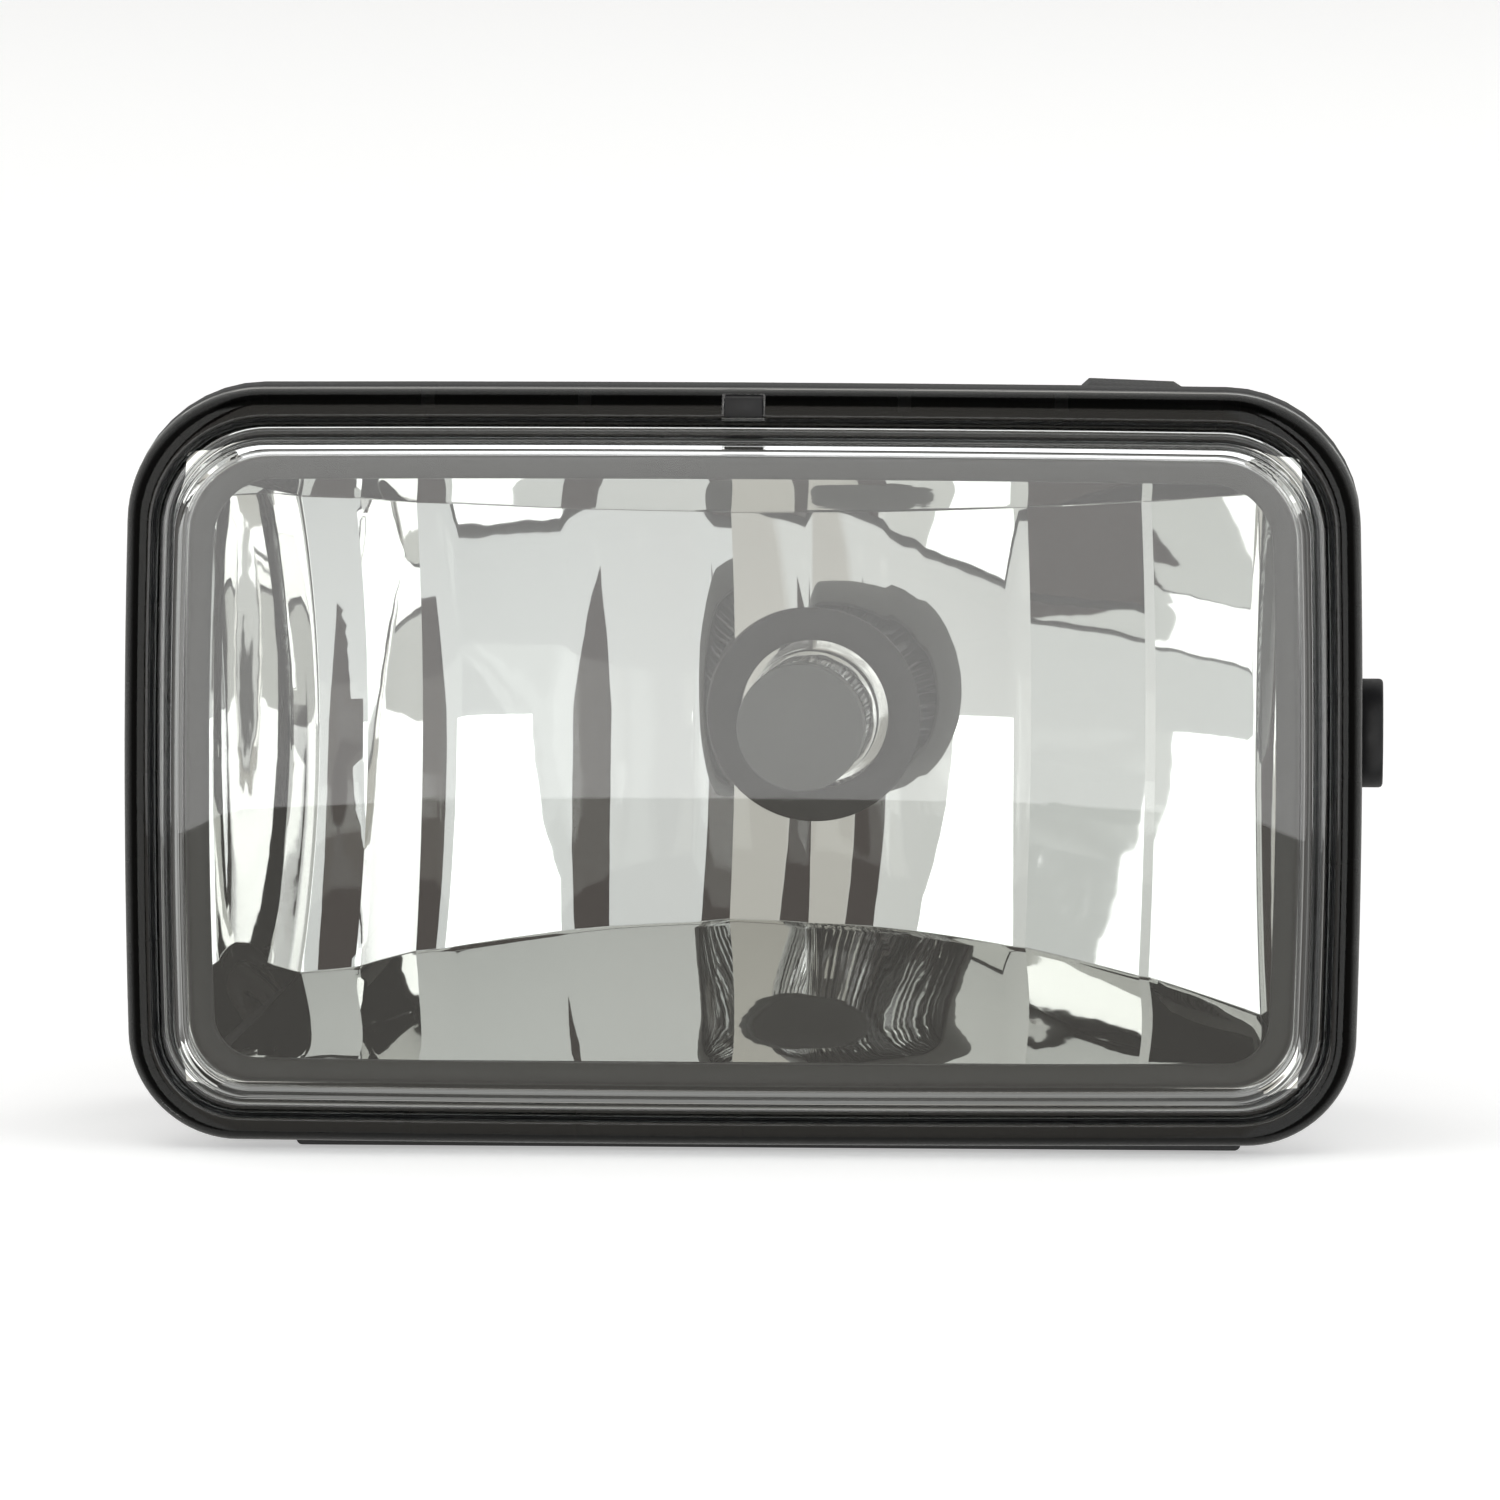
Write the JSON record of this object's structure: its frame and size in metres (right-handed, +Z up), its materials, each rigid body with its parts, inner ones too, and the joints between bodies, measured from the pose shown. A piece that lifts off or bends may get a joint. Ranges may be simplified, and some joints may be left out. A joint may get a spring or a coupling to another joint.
{
  "type": "fog light",
  "caption": "Rectangular halogen fog light: clear stepped lens, faceted mirror reflector and capped bulb, tilting in a bolted yoke bracket.",
  "frame": {"origin": "centre of the bracket's four bolt holes, on its rear face", "axes": "+Y points to the back of the lamp, through the bracket's holes; +X to the right of a viewer in front; +Z up"},
  "size_m": [0.1689, 0.1068, 0.1029],
  "materials": {
    "clear_polycarbonate": "clear, hard-coated",
    "sealant": "matte",
    "bezel_plastic": "fine satin",
    "reflector_mirror": "vacuum-metallised mirror",
    "zinc_steel": "zinc plated",
    "housing_plastic": "moulded satin black",
    "ring_plastic": "matt black",
    "vent_rubber": "matte",
    "membrane": "porous white film",
    "bulb_base_plastic": "moulded black",
    "collar_steel": "bright rolled steel",
    "bulb_glass": "clear glass",
    "cap_enamel": "grey heat-proof coating",
    "tungsten": "drawn wire",
    "lead_wire": "bright wire",
    "tinned_brass": "tinned blades",
    "silicone": "smooth red-brown silicone",
    "bracket_plastic": "glass-filled nylon, satin",
    "bush_plastic": "acetal, satin black",
    "spring_steel": "oiled spring steel",
    "natural_nylon": "natural nylon"
  },
  "bodies": {
    "bracket": {"mount_bracket": "bracket_plastic", "mount_sleeves": "zinc_steel", "pivot_bush_left": "bush_plastic", "pivot_bush_right": "bush_plastic"},
    "lamp": {"lens": "clear_polycarbonate", "lens_seal": "sealant", "bezel": "bezel_plastic", "reflector": "reflector_mirror", "reflector_screws": "zinc_steel", "housing": "housing_plastic", "socket_trim_ring": "ring_plastic", "bulb_socket": "housing_plastic", "vent_cap": "vent_rubber", "vent_membrane": "membrane", "pivot_pin_left": "zinc_steel", "pivot_pin_right": "zinc_steel"},
    "bulb": {"bulb_base": "bulb_base_plastic", "bulb_collar": "collar_steel", "bulb_glass": "bulb_glass", "bulb_cap": "cap_enamel", "filament": "tungsten", "filament_leads": "lead_wire", "bulb_terminals": "tinned_brass", "bulb_o_ring": "silicone"},
    "screw": {"aim_screw": "zinc_steel", "screw_clip": "spring_steel"},
    "nut": {"aim_nut": "natural_nylon"}
  },
  "joints": [
    {"name": "lamp_tilt", "type": "hinge", "parent": "bracket", "child": "lamp", "pos_m": [0, -0.04, 0.003], "axis": [1, 0, 0], "range_deg": [-4, 4]},
    {"name": "bulb_twist", "type": "hinge", "parent": "lamp", "child": "bulb", "pos_m": [0.00933, 0.01161, 0], "axis": [0.1045, 0.9945, 0], "range_deg": [0, 40]},
    {"name": "screw_turn", "type": "hinge", "parent": "bracket", "child": "screw", "pos_m": [0.03, 0, -0.0442], "axis": [0, 1, 0], "range_deg": [-954, 954]},
    {"name": "nut_travel", "type": "slide", "parent": "bracket", "child": "nut", "axis": [0, 1, 0], "range_m": [-0.0035, 0.0035]}
  ],
  "couplings": [
    {"joint": "screw_turn", "follows": "lamp_tilt", "ratio": 237.25},
    {"joint": "nut_travel", "follows": "lamp_tilt", "m_per_rad": 0.0472}
  ]
}
